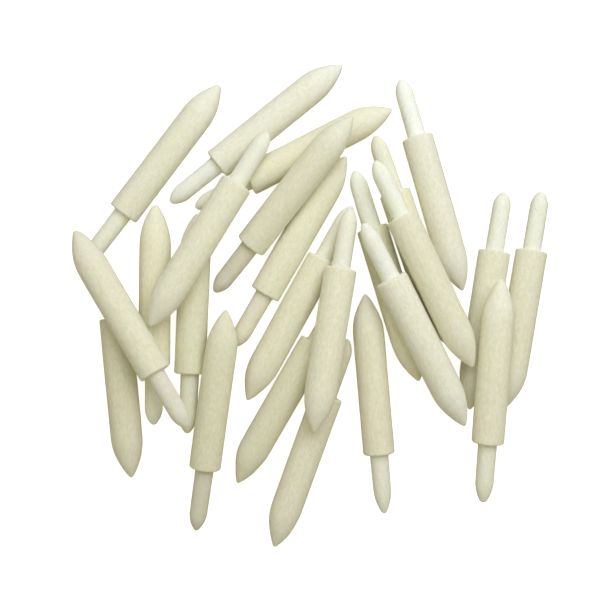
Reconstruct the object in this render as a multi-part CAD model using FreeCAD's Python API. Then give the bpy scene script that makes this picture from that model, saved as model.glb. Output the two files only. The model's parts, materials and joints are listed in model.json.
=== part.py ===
import FreeCAD, Part
import math
import os

# A loose set of blending stumps. Each stump is one stick of bonded fibre: a thick body with
# a pointed tip, a square shoulder, and a thinner stem with a bullet end. One layer lies on
# the surface and a second layer lies across it. Millimetres, +Z up. The origin is on the
# surface, under the middle of the set.

# One stump
body_diameter = 4.8
body_length = 24.1  # point to shoulder
tip_length = 6.0  # the tapered part of the body
tip_rounding = 0.3
shoulder_rounding = 0.35
stem_diameter = 2.85
stem_length = 8.9  # shoulder to end
short_stem_length = 5.6
long_stem_length = 9.7
stem_end_length = 2.6  # the tapered part of the stem
stem_end_rounding = 0.65

# How the stumps lie on each other
resting_gap = 0.15  # between a stump and what it lies on
side_gap = 0.15  # between neighbours in one layer

# The layout: the middle of each stump, x and y, and the heading of its point, in degrees
# counter-clockwise from +X. It suits this length and this diameter of stump, and spreads
# out when either grows. A stump with an odd stem has its middle where it would be with the
# usual one.
layout_length = 33.0
layout_diameter = 4.8
lower_layout = [
    (-23.0, 19.9, 52.8),
    (-22.8, -1.3, 89.5),
    (-17.2, -2.6, 87.5),
    (-28.0, -9.3, -84.5),
    (-7.5, 25.8, 39.0),
    (-2.0, 22.3, 27.0),
    (-2.2, 8.1, 60.0),
    (-1.0, 0.5, -119.0),
    (-2.9, -11.8, -120.0),
    (0.6, -20.5, -110.0),
    (10.3, -14.6, 95.0),
    (12.1, 4.6, -73.0),
    (16.0, 10.2, -71.0),
    (17.8, 17.9, -74.0),
    (27.0, 0.8, -99.0),
    (32.5, 0.9, -99.5),
]
upper_layout = [
    (-25.3, -3.3, 121.0),
    (-14.2, 11.3, -121.0),
    (-3.7, 14.7, 51.0),
    (-14.4, -16.7, 81.5),
    (4.3, -2.0, -99.5),
    (15.8, -2.5, -63.0),
    (17.1, 5.8, -64.5),
    (26.0, -12.4, 86.5),
]
odd_stems = {"lower_stump_04": short_stem_length, "upper_stump_04": long_stem_length}

# How finely a stump is sampled when it is laid down
bead_step = 0.5
shoulder_inset = 0.6
settling_rounds = 6
spreading_rounds = 60
smallest_push = 0.002

stump_length = body_length + stem_length
tip_x = stump_length / 2
shoulder_x = tip_x - body_length


def taper(radius, length, rounding):
    """The arc that narrows a stick to a rounded point: the arc's radius, and how far from
    the end and from the axis it meets the rounding."""
    reach = length - rounding
    arc = (reach**2 + radius**2 - rounding**2) / (2 * (radius - rounding))
    lean = math.asin(reach / (arc - rounding))
    return arc, rounding * (1 - math.sin(lean)), rounding * math.cos(lean)


def taper_radius(from_end, radius, length, rounding):
    """The stick's radius this far from a tapered end."""
    if from_end >= length:
        return radius
    arc, meet_x, _ = taper(radius, length, rounding)
    if from_end < meet_x:
        return math.sqrt(from_end * (2 * rounding - from_end))
    return radius - arc + math.sqrt(arc**2 - (length - from_end) ** 2)


def stump_radius(x, stem):
    """The radius at x along its own axis of a stump whose stem is this long. 0 is the middle
    of a usual stump and the point is +X."""
    if x > shoulder_x:
        return taper_radius(tip_x - x, body_diameter / 2, tip_length, tip_rounding)
    from_end = x - (shoulder_x - stem)
    return taper_radius(from_end, stem_diameter / 2, stem_end_length, stem_end_rounding)


def tapered_end(end_x, inward, radius, length, rounding):
    """The outline's two arcs from a rounded point to full radius. inward is 1 or -1."""
    arc, meet_x, meet_r = taper(radius, length, rounding)

    def at(from_end, r):
        return FreeCAD.Vector(end_x + inward * from_end, r, 0)

    nose_turn = math.atan2(meet_r, rounding - meet_x) / 2
    on_nose = at(rounding * (1 - math.cos(nose_turn)), rounding * math.sin(nose_turn))
    half_way = (meet_x + length) / 2
    on_arc = at(half_way, taper_radius(half_way, radius, length, rounding))
    point, meet, full = at(0, 0), at(meet_x, meet_r), at(length, radius)
    return [Part.Arc(point, on_nose, meet).toShape(), Part.Arc(meet, on_arc, full).toShape()]


def make_stump(stem):
    """One stump along X whose stem is this long, turned from its outline."""
    body_r = body_diameter / 2
    stem_r = stem_diameter / 2
    edge = shoulder_rounding
    edge_middle = edge * (1 - math.sqrt(0.5))

    def at(x, r):
        return FreeCAD.Vector(x, r, 0)

    def line(start, end):
        return Part.LineSegment(start, end).toShape()

    stem_end_x = shoulder_x - stem
    tip = tapered_end(tip_x, -1, body_r, tip_length, tip_rounding)
    stem_end = tapered_end(stem_end_x, 1, stem_r, stem_end_length, stem_end_rounding)
    side_end = at(shoulder_x + edge, body_r)
    on_edge = at(shoulder_x + edge_middle, body_r - edge_middle)
    shoulder_rim = at(shoulder_x, body_r - edge)
    stem_root = at(shoulder_x, stem_r)
    outline = tip + [
        line(at(tip_x - tip_length, body_r), side_end),
        Part.Arc(side_end, on_edge, shoulder_rim).toShape(),
        line(shoulder_rim, stem_root),
        line(stem_root, at(stem_end_x + stem_end_length, stem_r)),
    ]
    outline += stem_end + [line(at(stem_end_x, 0), at(tip_x, 0))]
    wire = Part.Wire(Part.__sortEdges__(outline))
    return Part.Face(wire).revolve(at(0, 0), FreeCAD.Vector(1, 0, 0), 360)


def bead_row(stem):
    """Beads strung along a stump's axis that fill it: place along the axis and radius."""
    stretches = [
        (shoulder_x - stem + stem_end_rounding, shoulder_x),
        (shoulder_x + shoulder_inset, tip_x - tip_rounding),
    ]
    row = []
    for start, end in stretches:
        steps = math.ceil((end - start) / bead_step)
        row += [start + (end - start) * i / steps for i in range(steps + 1)]
    return [(x, stump_radius(x, stem)) for x in row]


class Lying:
    """Where one stump lies: its middle, its heading and how far its point is raised."""

    def __init__(self, x, y, heading, stem):
        self.x = x
        self.y = y
        self.z = body_diameter / 2
        self.heading = math.radians(heading)
        self.pitch = 0.0
        self.stem = stem
        self.beads = bead_row(stem)
        self.balance = sum(s * r**2 for s, r in self.beads) / sum(r**2 for _, r in self.beads)

    def bead_places(self):
        run = math.cos(self.pitch)
        along_x, along_y = run * math.cos(self.heading), run * math.sin(self.heading)
        rise = math.sin(self.pitch)
        x, y, z = self.x, self.y, self.z
        return [(x + s * along_x, y + s * along_y, z + s * rise, r) for s, r in self.beads]

    def placement(self):
        turn = FreeCAD.Rotation(math.degrees(self.heading), -math.degrees(self.pitch), 0)
        return FreeCAD.Placement(FreeCAD.Vector(self.x, self.y, self.z), turn)


def within_reach(one, other):
    lengths = 2 * body_length + one.stem + other.stem
    return math.hypot(one.x - other.x, one.y - other.y) < lengths / 2 + body_diameter


def deepest_overlap(one, other):
    """How far two level stumps are into each other or their gap, and the way out."""
    deepest = (0.0, 0.0, 0.0)
    for x, y, _, r in one.bead_places():
        for other_x, other_y, _, other_r in other.bead_places():
            apart = math.hypot(other_x - x, other_y - y)
            short = r + other_r + side_gap - apart
            if short > deepest[0]:
                deepest = (short, (other_x - x) / apart, (other_y - y) / apart)
    return deepest


def spread_layer(layer):
    """Nudges the stumps of one layer sideways until no two are into each other."""
    pairs = [(a, b) for i, a in enumerate(layer) for b in layer[i + 1 :] if within_reach(a, b)]
    for _ in range(spreading_rounds):
        still = []
        for one, other in pairs:
            short, way_x, way_y = deepest_overlap(one, other)
            if short > smallest_push:
                one.x -= way_x * short / 2
                one.y -= way_y * short / 2
                other.x += way_x * short / 2
                other.y += way_y * short / 2
                still.append((one, other))
        if not still:
            break


def heights_needed(stump, placed):
    """For each bead, and for the shoulder's rim over the surface, its place along the ground
    and the lowest height that the axis can have there."""
    below = [bead for other in placed if within_reach(stump, other) for bead in other.bead_places()]
    run = math.cos(stump.pitch)
    rim_x = shoulder_x + shoulder_rounding
    needed = [(rim_x * run, body_diameter / 2 * run)]
    for (s, _), (x, y, _, r) in zip(stump.beads, stump.bead_places(), strict=True):
        lowest = r * run
        for other_x, other_y, other_z, other_r in below:
            reach = r + other_r + resting_gap
            apart = math.hypot(other_x - x, other_y - y)
            if apart < reach:
                lowest = max(lowest, other_z + math.sqrt(reach**2 - apart**2))
        needed.append((s * run, lowest))
    return sorted(needed)


def resting_slope(needed, balance):
    """The slope of a straight stick on supports of these heights: it bears on the two that
    it would touch first, one on each side of its balance point."""
    hull = []
    for point in needed:
        while len(hull) > 1:
            (x0, z0), (x1, z1) = hull[-2:]
            if (x1 - x0) * (point[1] - z0) < (z1 - z0) * (point[0] - x0):
                break
            hull.pop()
        hull.append(point)
    for (x0, z0), (x1, z1) in zip(hull, hull[1:], strict=False):
        if x0 <= balance <= x1:
            return (z1 - z0) / (x1 - x0)
    return 0.0


def lay_down(stump, placed):
    """Lowers a stump onto the surface and the stumps already placed."""
    for _ in range(settling_rounds):
        needed = heights_needed(stump, placed)
        stump.pitch = math.atan(resting_slope(needed, stump.balance * math.cos(stump.pitch)))
    needed = heights_needed(stump, placed)
    slope = math.tan(stump.pitch)
    stump.z = max(height - along * slope for along, height in needed)


def make_layer(layer, layout, spread):
    """The stumps of one layer by name, level and clear of each other."""
    stumps = {}
    for number, (x, y, heading) in enumerate(layout, start=1):
        name = f"{layer}_stump_{number:02d}"
        stem = odd_stems.get(name, stem_length)
        stumps[name] = Lying(spread * x, spread * y, heading, stem)
    spread_layer(list(stumps.values()))
    return stumps


def lay_out():
    """Every stump by name, where it lies."""
    spread = max(stump_length / layout_length, body_diameter / layout_diameter)
    lower = make_layer("lower", lower_layout, spread)
    upper = make_layer("upper", upper_layout, spread)
    placed = list(lower.values())
    for stump in upper.values():
        lay_down(stump, placed)
        placed.append(stump)
    return {**lower, **upper}


def main():
    solids = {}
    for name, stump in lay_out().items():
        solids[name] = make_stump(stump.stem)
        solids[name].Placement = stump.placement()
    box = Part.makeCompound(list(solids.values())).optimalBoundingBox(False)
    to_origin = FreeCAD.Vector(-box.Center.x, -box.Center.y, 0)
    os.makedirs("parts", exist_ok=True)
    for name, solid in solids.items():
        solid.translate(to_origin)
        solid.exportStep(f"parts/{name}.step")


main()
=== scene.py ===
import json
import math

import bpy
import numpy as np
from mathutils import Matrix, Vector

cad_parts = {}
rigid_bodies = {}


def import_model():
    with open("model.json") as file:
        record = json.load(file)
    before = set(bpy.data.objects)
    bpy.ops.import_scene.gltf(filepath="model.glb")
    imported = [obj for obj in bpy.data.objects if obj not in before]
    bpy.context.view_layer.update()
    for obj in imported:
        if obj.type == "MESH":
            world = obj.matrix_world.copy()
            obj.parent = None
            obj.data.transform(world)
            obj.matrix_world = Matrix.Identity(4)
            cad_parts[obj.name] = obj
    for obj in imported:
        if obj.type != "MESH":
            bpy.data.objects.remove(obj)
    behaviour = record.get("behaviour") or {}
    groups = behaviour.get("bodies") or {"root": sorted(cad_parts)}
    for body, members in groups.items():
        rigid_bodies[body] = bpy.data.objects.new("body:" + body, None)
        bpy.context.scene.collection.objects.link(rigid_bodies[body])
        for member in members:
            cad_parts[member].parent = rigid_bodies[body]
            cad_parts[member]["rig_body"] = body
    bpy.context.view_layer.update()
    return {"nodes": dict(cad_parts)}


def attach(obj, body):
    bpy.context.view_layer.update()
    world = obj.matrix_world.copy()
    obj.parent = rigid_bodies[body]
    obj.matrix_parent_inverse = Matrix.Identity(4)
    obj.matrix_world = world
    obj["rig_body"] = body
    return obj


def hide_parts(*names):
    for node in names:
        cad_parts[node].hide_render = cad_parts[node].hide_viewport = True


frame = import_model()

# Lengths are in millimetres and are turned into metres where a mesh or an object is made.
MM = 0.001

# How finely each stump is modelled
AROUND = 104
RING_STEP = 0.19

# What the outline adds to the CAD stump's own sizes
SHOULDER_ROUNDING = 0.35
STEM_ROOT_ROUNDING = 0.22
TIP_ROUNDING = 0.38
STEM_TAPER = 0.04  # how much thinner the stem is where its end begins

# Relief, all of it cut inwards so that no stump grows into its neighbour
STREAK_DEPTH = 0.022
FINE_STREAK_SHARE = 0.35  # of the streak depth
WAVE_DEPTH = 0.06
GRIT_DEPTH = 0.03
FACET_DEPTH = 0.12
FACETS_FROM = 1  # past the shoulder, so that only the point has facets
RAGGED_RIM = 0.05
RIM_REACH = 0.3  # along the stump, to each side of the shoulder
RIM_CLEARANCE = 0.2  # out from the stem

# How many cells of noise the relief has per millimetre, along the stump and across it
STREAK_CELLS = (0.10, 3.0, 3.0)
FINE_STREAK_CELLS = (0.30, 4.2, 4.2)
WAVE_CELLS = (0.12, 0.35, 0.35)
GRIT_CELLS = (1.6, 2.4, 2.4)
FACET_CELLS = (0.45, 0.55, 0.55)
WEAR_CELLS = (0.2, 0.6, 0.6)
RIM_CELLS = (0.5, 1.4, 1.4)

# Where the body's drawn skin starts after the shoulder, and where it is worn away round the
# start of the point, to one side or the other of an uneven line
SKIN_START = 0.1
SKIN_FULL = 0.5
WEAR_BEFORE = 2.0
WEAR_AFTER = 3.0
WEAR_SWING = 4

# How far the stem's colour factor, which holds painted shade and painted light as well as tone,
# fades out
STEM_TONE_AND_LIGHT_BLEND = 0.1  # to each side of the shoulder
LEAN_CURVE = 1.5  # above 1, a leaning point bends most near its end
GRAIN_SPREAD = (40, 9, 9)  # how far off each stump's piece of the grain may start

# What sets one stump apart from the next. The stump's colour factor multiplies the colour, and
# the stem's factor that of the stem once more. Both hold some tone of the stump's own and also
# painted shade and painted light: stumps and stems that lie in their neighbours' shade are made
# darker and more khaki, and some shaded stems and bodies are made lighter. lean is how far the
# point sits to the left of the axis as the stump lies, and blunt adds to the point's rounding.
# stem_end and stem_round are the length and the rounding of the stem's tapered end. streaks is
# how much the drawn fibres show.
PLAIN = {
    "tone_and_painted_light": (1.0, 1.0, 1.0),
    "stem_tone_and_painted_light": (1.02, 1.04, 1.07),
    "lean": 0.0,
    "blunt": 0.0,
    "stem_end": 2.6,
    "stem_round": 0.65,
    "streaks": 0.6,
}
CHARACTERS = {
    "lower_stump_01": {
        "tone_and_painted_light": (1.02, 1.02, 1.03),
        "stem_tone_and_painted_light": (1.06, 1.08, 1.08),
        "lean": 0.05,
        "blunt": 0.35,
    },
    "lower_stump_02": {"tone_and_painted_light": (1.05, 1.04, 0.99), "blunt": 0.3},
    "lower_stump_03": {"tone_and_painted_light": (0.98, 0.97, 0.92)},
    "lower_stump_04": {"tone_and_painted_light": (0.955, 0.945, 0.90), "lean": 0.15},
    "lower_stump_05": {"tone_and_painted_light": (1.03, 1.03, 1.08), "lean": -0.25},
    "lower_stump_06": {"tone_and_painted_light": (1.0, 0.99, 0.95), "lean": -0.20},
    "lower_stump_07": {
        "tone_and_painted_light": (1.0, 0.99, 0.95),
        "stem_tone_and_painted_light": (0.97, 0.95, 0.95),
        "lean": -0.25,
    },
    "lower_stump_08": {"tone_and_painted_light": (1.0, 0.98, 0.95), "lean": 0.30},
    "lower_stump_09": {"tone_and_painted_light": (0.93, 0.915, 0.86), "lean": 0.35},
    "lower_stump_10": {
        "tone_and_painted_light": (1.01, 0.99, 0.98),
        "stem_tone_and_painted_light": (0.84, 0.84, 0.77),
        "lean": 0.25,
    },
    "lower_stump_11": {
        "tone_and_painted_light": (1.03, 1.01, 1.0),
        "stem_end": 3.8,
        "stem_round": 0.5,
        "streaks": 1.0,
    },
    "lower_stump_12": {"tone_and_painted_light": (1.03, 1.03, 0.95), "stem_tone_and_painted_light": (1.08, 1.10, 1.25)},
    "lower_stump_13": {"tone_and_painted_light": (0.99, 0.98, 0.92)},
    "lower_stump_14": {
        "tone_and_painted_light": (1.0, 0.99, 1.02),
        "stem_tone_and_painted_light": (1.11, 1.15, 1.19),
        "lean": 0.20,
        "stem_end": 2.4,
        "stem_round": 0.8,
    },
    "lower_stump_15": {
        "tone_and_painted_light": (1.0, 0.99, 0.97),
        "stem_tone_and_painted_light": (1.06, 1.08, 1.15),
        "stem_end": 2.2,
        "stem_round": 0.9,
    },
    "lower_stump_16": {
        "tone_and_painted_light": (1.0, 0.99, 0.97),
        "stem_tone_and_painted_light": (1.04, 1.07, 1.13),
        "lean": -0.15,
        "stem_end": 2.4,
        "stem_round": 0.75,
    },
    "upper_stump_01": {
        "tone_and_painted_light": (1.01, 1.0, 0.99),
        "stem_tone_and_painted_light": (0.95, 0.94, 0.97),
        "lean": -0.35,
        "blunt": 0.25,
    },
    "upper_stump_02": {"tone_and_painted_light": (0.985, 0.98, 0.97), "lean": 0.15},
    "upper_stump_03": {
        "tone_and_painted_light": (0.955, 0.945, 0.92),
        "stem_tone_and_painted_light": (0.93, 0.91, 0.90),
        "lean": -0.15,
    },
    "upper_stump_04": {
        "tone_and_painted_light": (0.965, 0.955, 0.90),
        "stem_tone_and_painted_light": (0.91, 0.90, 0.95),
        "lean": 0.10,
        "stem_end": 2.9,
        "stem_round": 0.45,
    },
    "upper_stump_05": {"tone_and_painted_light": (1.0, 0.98, 0.97)},
    "upper_stump_06": {"tone_and_painted_light": (1.01, 1.01, 1.04), "stem_end": 3.3},
    "upper_stump_07": {
        "tone_and_painted_light": (0.965, 0.955, 0.93),
        "stem_tone_and_painted_light": (1.08, 1.12, 1.20),
        "streaks": 0.9,
    },
    "upper_stump_08": {"tone_and_painted_light": (1.03, 1.02, 1.0), "stem_end": 3.3},
}

# The fibre's colours
LIGHT_CREAM = (0.89, 0.873, 0.745)
DEEP_CREAM = (0.84, 0.815, 0.625)
GROUND_CREAM = (0.885, 0.872, 0.77)
SPECK = (0.71, 0.68, 0.46)

# The fibre's patterns: how each axis is stretched, the scale, the detail and the roughness.
# The first axis runs along the stump.
STREAKS = ((0.12, 1, 1), 3.2, 3, 0.6)
HAIRS = ((0.10, 1, 1), 7.0, 2, 0.6)
MOTTLE = ((0.55, 1, 1), 2.7, 3, 0.7)
CLOUD = ((0.35, 1, 1), 0.45, 3, 0.5)
GRIT = ((0.7, 1, 1), 4.0, 3, 0.65)

# The values of each pattern between which it goes from not showing to showing fully
STREAKS_SHOW = (0.34, 0.66)
HAIRS_SHOW = (0.55, 0.78)
MOTTLE_SHOWS = (0.35, 0.70)
CLOUD_SHOWS = (0.45, 0.75)
GRIT_SHOWS = (0.40, 0.72)

# How much higher the mottle stands in the bump than the streaks or the grit do
MOTTLE_OVER_STREAKS = 1.2
MOTTLE_OVER_GRIT = 1.6

# The camera looks straight down. HEIGHT is above the middle of the lower layer, and FIELD
# is the width that it sees there.
CAMERA_AT = (-1.0, -0.2)
HEIGHT = 137.0
LAYER_MIDDLE = 2.4
FIELD = 91.8
SENSOR = 36.0

# The light: a soft window over the set, and a sky that is warmer and dimmer below the
# horizon, as the light is that comes back from the table
WINDOW_AT = (30, 75, 130)
WINDOW_SIZE = 120
WINDOW_POWER = 0.155
WINDOW_LIGHT = (0.90, 0.965, 1.10)
SKY_LIGHT = (0.46, 0.445, 0.345)
TABLE_LIGHT = (0.21, 0.185, 0.075)
HORIZON_BLEND = 0.15

# The studio, in metres
FLOOR_REACH = 1.5  # from the middle to each side
BACKDROP_HEIGHT = 1.5
BACKDROP_SIDES = 48


class Noise:
    """Smooth random values from 0 to 1 over space, the same on every run."""

    CELLS = 32

    def __init__(self, seed):
        self.values = np.random.default_rng(seed).random((self.CELLS,) * 3)

    def at(self, points):
        cell = np.floor(points).astype(int)
        part = points - cell
        part = part * part * (3 - 2 * part)
        total = np.zeros(len(points))
        for corner in np.ndindex(2, 2, 2):
            weight = np.ones(len(points))
            for axis in range(3):
                near = part[:, axis]
                weight *= near if corner[axis] else 1 - near
            index = (cell + corner) % self.CELLS
            total += weight * self.values[index[:, 0], index[:, 1], index[:, 2]]
        return total


STREAK_NOISE = Noise(0)
FINE_STREAK_NOISE = Noise(1)
WAVE_NOISE = Noise(2)  # for the wear too
GRIT_NOISE = Noise(3)
FACET_NOISE = Noise(4)
RIM_NOISE = Noise(5)


def smooth(value, low, high):
    """0 below low, 1 above high, and an even curve between."""
    part = np.clip((value - low) / (high - low), 0, 1)
    return part * part * (3 - 2 * part)


class Shape:
    """A CAD stump's place and sizes, read from its own mesh."""

    STEM_SHARE = 1 / 8  # this much of the length is stem at the stem's end, or tip at the tip's
    THIN = 0.7  # what is thinner than this share of the body, over that length, is the stem
    FULL = 0.9999  # what is thicker than this share of the body is not tapered

    def __init__(self, node):
        mesh = frame["nodes"][node].data
        flat = np.empty(len(mesh.vertices) * 3)
        mesh.vertices.foreach_get("co", flat)
        points = flat.reshape(-1, 3) / MM
        one_end = points[np.argmax(np.linalg.norm(points - points.mean(0), axis=1))]
        other_end = points[np.argmax(np.linalg.norm(points - one_end, axis=1))]
        self.length = np.linalg.norm(other_end - one_end)
        along, radius = self.measure(points, one_end, other_end)
        self.body_r = radius.max()
        if radius[along < self.STEM_SHARE * self.length].max() > self.THIN * self.body_r:
            one_end, other_end = other_end, one_end
            along, radius = self.measure(points, one_end, other_end)
        self.stem_end = one_end
        self.axis = (other_end - one_end) / self.length
        self.stem_r = radius[along < self.STEM_SHARE * self.length].max()
        thick = radius > (self.stem_r + self.body_r) / 2
        self.shoulder = along[thick].min()
        full = radius > self.FULL * self.body_r
        self.tip_length = self.length - along[full].max()

    @staticmethod
    def measure(points, start, end):
        """How far along the line from start each point is, and how far from that line."""
        axis = (end - start) / np.linalg.norm(end - start)
        along = (points - start) @ axis
        radius = np.linalg.norm(points - start - np.outer(along, axis), axis=1)
        return along, radius


def arc_points(centre, radius, start, end, step):
    """Points on an arc, angles in radians, without its first point."""
    count = max(2, math.ceil(abs(end - start) * radius / step))
    angles = np.linspace(start, end, count + 1)[1:]
    return [(centre[0] + radius * math.cos(a), centre[1] + radius * math.sin(a)) for a in angles]


def line_points(start, end, step):
    """Points on a straight line, without its first point."""
    count = max(1, math.ceil(math.dist(start, end) / step))
    parts = np.linspace(0, 1, count + 1)[1:]
    return [tuple(np.array(start) + (np.array(end) - start) * part) for part in parts]


def taper_points(end_x, way, radius, length, rounding):
    """From a rounded point at end_x to full radius, length further along way (1 or -1)."""
    arc = ((length - rounding) ** 2 + radius**2 - rounding**2) / (2 * (radius - rounding))
    lean = math.asin((length - rounding) / (arc - rounding))
    nose = arc_points((rounding, 0), rounding, math.pi, math.pi / 2 + lean, RING_STEP / 3)
    side = arc_points((length, radius - arc), arc, math.pi / 2 + lean, math.pi / 2, RING_STEP)
    return [(end_x + way * x, r) for x, r in nose + side]


def outline(shape, character):
    """The stump's outline from its stem end to its point, as (x, r), x from the stem end."""
    stem_r, body_r = shape.stem_r, shape.body_r
    root, edge = STEM_ROOT_ROUNDING, SHOULDER_ROUNDING
    shoulder = shape.shoulder
    rounding = TIP_ROUNDING + character["blunt"]
    tip = taper_points(shape.length, -1, body_r, shape.tip_length, rounding)
    end_length, end_rounding = character["stem_end"], character["stem_round"]
    points = taper_points(0, 1, stem_r - STEM_TAPER, end_length, end_rounding)
    points += line_points(points[-1], (shoulder - root, stem_r), RING_STEP)
    root_middle = (shoulder - root, stem_r + root)
    points += arc_points(root_middle, root, -math.pi / 2, 0, RING_STEP / 3)
    points += line_points(points[-1], (shoulder, body_r - edge), RING_STEP)
    edge_middle = (shoulder + edge, body_r - edge)
    points += arc_points(edge_middle, edge, math.pi, math.pi / 2, RING_STEP / 2)
    points += line_points(points[-1], tip[-1], RING_STEP)
    return np.array(points + tip[-2::-1])


def skin_left(shape, grain, x):
    """How much of the body's drawn skin is left at each point, from 0 to 1."""
    body = smooth(x, shape.shoulder + SKIN_START, shape.shoulder + SKIN_FULL)
    tip_start = shape.length - shape.tip_length
    worn = x + WEAR_SWING * (WAVE_NOISE.at(grain * WEAR_CELLS) - 0.5)
    return body * (1 - smooth(worn, tip_start - WEAR_BEFORE, tip_start + WEAR_AFTER))


def relief(shape, grain, x, skin):
    """How deep the surface is cut at each point: drawn fibres on the body's skin, and the
    rougher ground surface everywhere else."""
    streaks = STREAK_NOISE.at(grain * STREAK_CELLS) ** 2
    fine_streaks = FINE_STREAK_NOISE.at(grain * FINE_STREAK_CELLS)
    waves = WAVE_NOISE.at(grain * WAVE_CELLS)
    grit = GRIT_NOISE.at(grain * GRIT_CELLS)
    facets = FACET_NOISE.at(grain * FACET_CELLS) * (x > shape.shoulder + FACETS_FROM)
    drawn = (1 - FINE_STREAK_SHARE) * streaks + FINE_STREAK_SHARE * fine_streaks
    ground = GRIT_DEPTH * grit + FACET_DEPTH * facets
    return WAVE_DEPTH * waves + skin * STREAK_DEPTH * drawn + (1 - skin) * ground


def sideways(axis):
    """The level direction to the left of the axis, and the direction square to both."""
    left = np.cross((0, 0, 1), axis)
    left = left / np.linalg.norm(left)
    return left, np.cross(axis, left)


def tube_faces(rings):
    """The faces of a tube of this many rings that a point closes at each end. The points of
    the rings come first, then the point before the first ring and the one after the last."""
    faces = []
    first, last = rings * AROUND, rings * AROUND + 1
    top = (rings - 1) * AROUND
    for ring in range(rings - 1):
        low, high = ring * AROUND, (ring + 1) * AROUND
        for i in range(AROUND):
            j = (i + 1) % AROUND
            faces.append((low + i, high + i, high + j, low + j))
    for i in range(AROUND):
        j = (i + 1) % AROUND
        faces.append((first, i, j))
        faces.append((last, top + j, top + i))
    return faces


def add_attribute(mesh, name, kind, values):
    attribute = mesh.attributes.new(name, kind, "POINT")
    field = "value" if kind == "FLOAT" else "vector"
    attribute.data.foreach_set(field, np.ravel(values).astype(np.float32))


def make_stump(node, number, material):
    """The detailed stump that stands for one CAD node."""
    shape = Shape(node)
    character = {**PLAIN, **CHARACTERS.get(node, {})}
    line = outline(shape, character)
    rings = len(line)
    run = np.gradient(line, axis=0)
    run /= np.linalg.norm(run, axis=1)[:, None]
    out_x, out_r = -run[:, 1], run[:, 0]

    turn = np.tile(np.arange(AROUND) * 2 * math.pi / AROUND, rings)
    away = np.stack([np.cos(turn), np.sin(turn)], axis=1)
    smooth_x = np.repeat(line[:, 0], AROUND)
    smooth_r = np.repeat(line[:, 1], AROUND)
    offset = np.random.default_rng(number).random(3) * GRAIN_SPREAD
    grain = np.column_stack([smooth_x, smooth_r[:, None] * away]) + offset

    skin = skin_left(shape, grain, smooth_x)
    depth = relief(shape, grain, smooth_x, skin) * np.clip(smooth_r / shape.stem_r, 0, 1)
    x = smooth_x - np.repeat(out_x, AROUND) * depth
    r = smooth_r - np.repeat(out_r, AROUND) * depth
    on_rim = np.exp(-(((smooth_x - shape.shoulder) / RIM_REACH) ** 2))
    on_rim *= r > shape.stem_r + RIM_CLEARANCE
    x = x + on_rim * RAGGED_RIM * RIM_NOISE.at(grain * RIM_CELLS)

    left, up = sideways(shape.axis)
    tip_start = shape.length - shape.tip_length
    lean = character["lean"] * smooth(x, tip_start, shape.length) ** LEAN_CURVE
    centre = shape.stem_end + np.outer(x, shape.axis) + np.outer(lean, left)
    places = centre + (r * away[:, 0])[:, None] * left + (r * away[:, 1])[:, None] * up
    tip = shape.stem_end + shape.axis * shape.length + character["lean"] * left
    places = np.vstack([places, shape.stem_end, tip]) * MM
    grain = np.vstack([grain, offset, offset + (shape.length, 0, 0)])
    skin = np.append(skin, [0.0, 0.0])
    # The stem's colour factor: some tone of its own, and painted shade and painted light on
    # stems that lie in their neighbours' shade
    blend = STEM_TONE_AND_LIGHT_BLEND
    on_stem = 1 - smooth(smooth_x, shape.shoulder - blend, shape.shoulder + blend)
    on_stem = np.append(on_stem, [1.0, 0.0])
    stem_tone_and_painted_light = 1 + np.outer(on_stem, np.array(character["stem_tone_and_painted_light"]) - 1)

    mesh = bpy.data.meshes.new(node + "_fibre")
    mesh.from_pydata(places.tolist(), [], tube_faces(rings))
    mesh.shade_smooth()
    add_attribute(mesh, "grain", "FLOAT_VECTOR", grain)
    add_attribute(mesh, "skin", "FLOAT", skin)
    add_attribute(mesh, "streaks", "FLOAT", np.full(len(places), character["streaks"]))
    # The stump's colour factor: some tone of its own, and painted shade and painted light for
    # where it lies among the others
    add_attribute(mesh, "tone_and_painted_light", "FLOAT_VECTOR", np.array(character["tone_and_painted_light"]) * stem_tone_and_painted_light)
    piece = bpy.data.objects.new(node + "_fibre", mesh)
    bpy.context.scene.collection.objects.link(piece)
    mesh.materials.append(material)
    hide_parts(node)
    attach(piece, frame["nodes"][node]["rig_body"])


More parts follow.
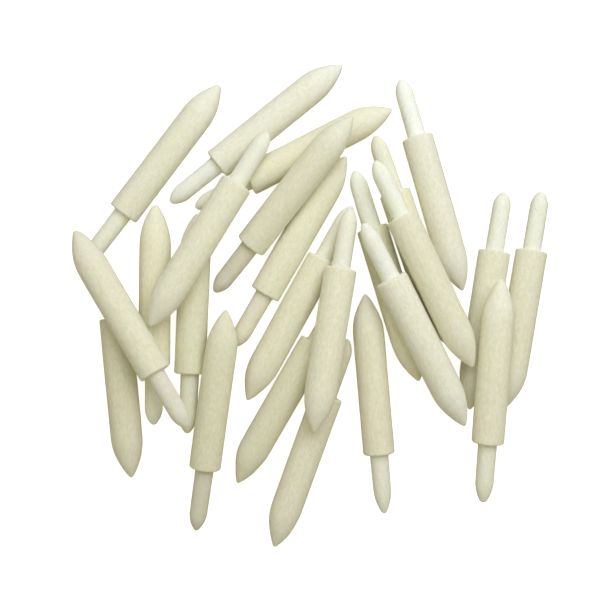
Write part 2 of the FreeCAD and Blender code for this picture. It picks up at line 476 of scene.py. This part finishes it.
class Nodes:
    """Short calls for a material's node tree."""

    # The mix node has a set of sockets for each kind of value, under the same names
    FLOAT_A, FLOAT_B, COLOUR_A, COLOUR_B = 2, 3, 6, 7
    MIXED_COLOUR = 2

    def __init__(self, tree):
        self.tree = tree

    def add(self, kind, **settings):
        node = self.tree.nodes.new(kind)
        for name, value in settings.items():
            setattr(node, name, value)
        return node

    def link(self, source, target):
        self.tree.links.new(source, target)

    def attribute(self, name, output="Vector"):
        return self.add("ShaderNodeAttribute", attribute_name=name).outputs[output]

    def noise(self, vector, stretch, scale, detail, roughness):
        """Noise from 0 to 1 over vector, each axis first scaled by stretch."""
        scaled = self.add("ShaderNodeVectorMath", operation="MULTIPLY")
        self.link(vector, scaled.inputs[0])
        scaled.inputs[1].default_value = stretch
        noise = self.add("ShaderNodeTexNoise")
        noise.inputs["Scale"].default_value = scale
        noise.inputs["Detail"].default_value = detail
        noise.inputs["Roughness"].default_value = roughness
        self.link(scaled.outputs[0], noise.inputs["Vector"])
        return noise.outputs["Fac"]

    def between(self, value, low, high, start=0.0, end=1.0):
        """value, spread so that low becomes start and high becomes end."""
        spread = self.add("ShaderNodeMapRange")
        self.link(value, spread.inputs["Value"])
        spread.inputs["From Min"].default_value = low
        spread.inputs["From Max"].default_value = high
        spread.inputs["To Min"].default_value = start
        spread.inputs["To Max"].default_value = end
        return spread.outputs["Result"]

    def math(self, operation, one, other):
        node = self.add("ShaderNodeMath", operation=operation)
        for socket, value in zip(node.inputs, (one, other), strict=False):
            if isinstance(value, (int, float)):
                socket.default_value = value
            else:
                self.link(value, socket)
        return node.outputs[0]

    def mix(self, factor, one, other):
        """A colour between one and other, each a colour or a socket."""
        node = self.add("ShaderNodeMix", data_type="RGBA")
        self.link(factor, node.inputs["Factor"])
        for index, value in ((self.COLOUR_A, one), (self.COLOUR_B, other)):
            if isinstance(value, tuple):
                node.inputs[index].default_value = (*value, 1)
            else:
                self.link(value, node.inputs[index])
        return node.outputs[self.MIXED_COLOUR]


def fibre_material():
    """Bonded fibre: pale streaks along the body, finer and duller where it has been ground."""
    material = bpy.data.materials.new("bonded_fibre")
    material.use_nodes = True
    nodes = Nodes(material.node_tree)
    surface = material.node_tree.nodes["Principled BSDF"]
    grain = nodes.attribute("grain")
    skin = nodes.attribute("skin", "Fac")

    streaks = nodes.noise(grain, *STREAKS)
    hairs = nodes.noise(grain, *HAIRS)
    mottle = nodes.noise(grain, *MOTTLE)
    cloud = nodes.noise(grain, *CLOUD)
    grit = nodes.noise(grain, *GRIT)

    shown = nodes.attribute("streaks", "Fac")
    streaked = nodes.math("MULTIPLY", nodes.between(streaks, *STREAKS_SHOW), shown)
    drawn = nodes.mix(streaked, LIGHT_CREAM, DEEP_CREAM)
    drawn = nodes.mix(nodes.between(hairs, *HAIRS_SHOW, end=0.25), drawn, SPECK)
    drawn = nodes.mix(nodes.between(mottle, *MOTTLE_SHOWS, end=0.65), drawn, SPECK)
    ground = nodes.mix(nodes.between(grit, *GRIT_SHOWS, end=0.6), GROUND_CREAM, DEEP_CREAM)
    ground = nodes.mix(nodes.between(mottle, *MOTTLE_SHOWS, end=0.5), ground, SPECK)
    colour = nodes.mix(skin, ground, drawn)
    colour = nodes.mix(nodes.between(cloud, *CLOUD_SHOWS, end=0.35), colour, DEEP_CREAM)
    # Each stump's colour factor multiplies the colour: some tone of its own, and painted shade
    # and painted light
    with_tone_and_painted_light = nodes.add("ShaderNodeVectorMath", operation="MULTIPLY")
    nodes.link(colour, with_tone_and_painted_light.inputs[0])
    nodes.link(nodes.attribute("tone_and_painted_light"), with_tone_and_painted_light.inputs[1])
    nodes.link(with_tone_and_painted_light.outputs[0], surface.inputs["Base Color"])

    roughness = nodes.between(streaks, 0.3, 0.7, start=0.78, end=0.95)
    nodes.link(roughness, surface.inputs["Roughness"])
    surface.inputs["Specular IOR Level"].default_value = 0.25
    surface.inputs["Sheen Weight"].default_value = 0.05
    surface.inputs["Sheen Roughness"].default_value = 0.6
    surface.inputs["Subsurface Weight"].default_value = 0.4
    surface.inputs["Subsurface Radius"].default_value = (1.0, 0.85, 0.5)
    surface.inputs["Subsurface Scale"].default_value = 0.6 * MM

    drawn_mottle = nodes.math("MULTIPLY", mottle, MOTTLE_OVER_STREAKS)
    drawn_height = nodes.math("ADD", drawn_mottle, streaks)
    ground_mottle = nodes.math("MULTIPLY", mottle, MOTTLE_OVER_GRIT)
    ground_height = nodes.math("ADD", ground_mottle, grit)
    height = nodes.add("ShaderNodeMix", data_type="FLOAT")
    nodes.link(skin, height.inputs["Factor"])
    nodes.link(ground_height, height.inputs[Nodes.FLOAT_A])
    nodes.link(drawn_height, height.inputs[Nodes.FLOAT_B])
    bump = nodes.add("ShaderNodeBump")
    bump.inputs["Strength"].default_value = 0.5
    bump.inputs["Distance"].default_value = 0.06 * MM
    nodes.link(height.outputs[0], bump.inputs["Height"])
    nodes.link(bump.outputs["Normal"], surface.inputs["Normal"])
    return material


def floor_material():
    material = bpy.data.materials.new("pale_floor")
    material.use_nodes = True
    surface = material.node_tree.nodes["Principled BSDF"]
    surface.inputs["Base Color"].default_value = (0.97, 0.97, 0.97, 1)
    surface.inputs["Roughness"].default_value = 0.9
    surface.inputs["Specular IOR Level"].default_value = 0.1
    surface.inputs["Emission Color"].default_value = (1.0, 1.0, 1.0, 1)
    surface.inputs["Emission Strength"].default_value = 0.8
    return material


def make_stage(name, corners, faces, material):
    """A piece of the studio: it is seen, but sends no light back to the stumps."""
    mesh = bpy.data.meshes.new(name)
    mesh.from_pydata(corners, [], faces)
    mesh.materials.append(material)
    piece = bpy.data.objects.new(name, mesh)
    bpy.context.scene.collection.objects.link(piece)
    piece.visible_diffuse = False
    return piece


def make_studio():
    """A wide pale floor, and a wall in the same finish round it that shows in low views."""
    material = floor_material()
    reach = FLOOR_REACH
    corners = [(-reach, -reach, 0), (reach, -reach, 0), (reach, reach, 0), (-reach, reach, 0)]
    make_stage("floor", corners, [(0, 1, 2, 3)], material)
    wall = []
    for i in range(BACKDROP_SIDES):
        turn = 2 * math.pi * i / BACKDROP_SIDES
        x, y = reach * math.cos(turn), reach * math.sin(turn)
        wall += [(x, y, 0), (x, y, BACKDROP_HEIGHT)]
    count = len(wall)
    faces = [(i, (i + 2) % count, (i + 3) % count, i + 1) for i in range(0, count, 2)]
    backdrop = make_stage("backdrop", wall, faces, material)
    backdrop.visible_shadow = False


def make_window():
    """A square soft light that faces the middle of the set."""
    data = bpy.data.lights.new("window", "AREA")
    data.size = WINDOW_SIZE * MM
    data.energy = WINDOW_POWER
    data.color = WINDOW_LIGHT
    light = bpy.data.objects.new("window", data)
    light.location = Vector(WINDOW_AT) * MM
    light.rotation_euler = (-light.location).to_track_quat("-Z", "Y").to_euler()
    bpy.context.scene.collection.objects.link(light)


def make_sky():
    """Soft light from all round."""
    world = bpy.data.worlds.new("studio")
    world.use_nodes = True
    nodes = Nodes(world.node_tree)
    background = world.node_tree.nodes["Background"]
    place = nodes.add("ShaderNodeTexCoord")
    height = nodes.add("ShaderNodeSeparateXYZ")
    nodes.link(place.outputs["Generated"], height.inputs[0])
    above = nodes.between(height.outputs["Z"], -HORIZON_BLEND, HORIZON_BLEND)
    nodes.link(nodes.mix(above, TABLE_LIGHT, SKY_LIGHT), background.inputs["Color"])
    background.inputs["Strength"].default_value = 1.0
    bpy.context.scene.world = world


def make_camera():
    data = bpy.data.cameras.new("camera")
    data.sensor_width = SENSOR
    data.lens = SENSOR * HEIGHT / FIELD
    data.clip_start = 0.005
    camera = bpy.data.objects.new("camera", data)
    camera.location = Vector((*CAMERA_AT, HEIGHT + LAYER_MIDDLE)) * MM
    bpy.context.scene.collection.objects.link(camera)
    bpy.context.scene.camera = camera


make_camera()
make_studio()
make_window()
make_sky()
bpy.context.scene.view_settings.view_transform = "Standard"
fibre = fibre_material()
for number, node in enumerate(sorted(frame["nodes"])):
    make_stump(node, number, fibre)
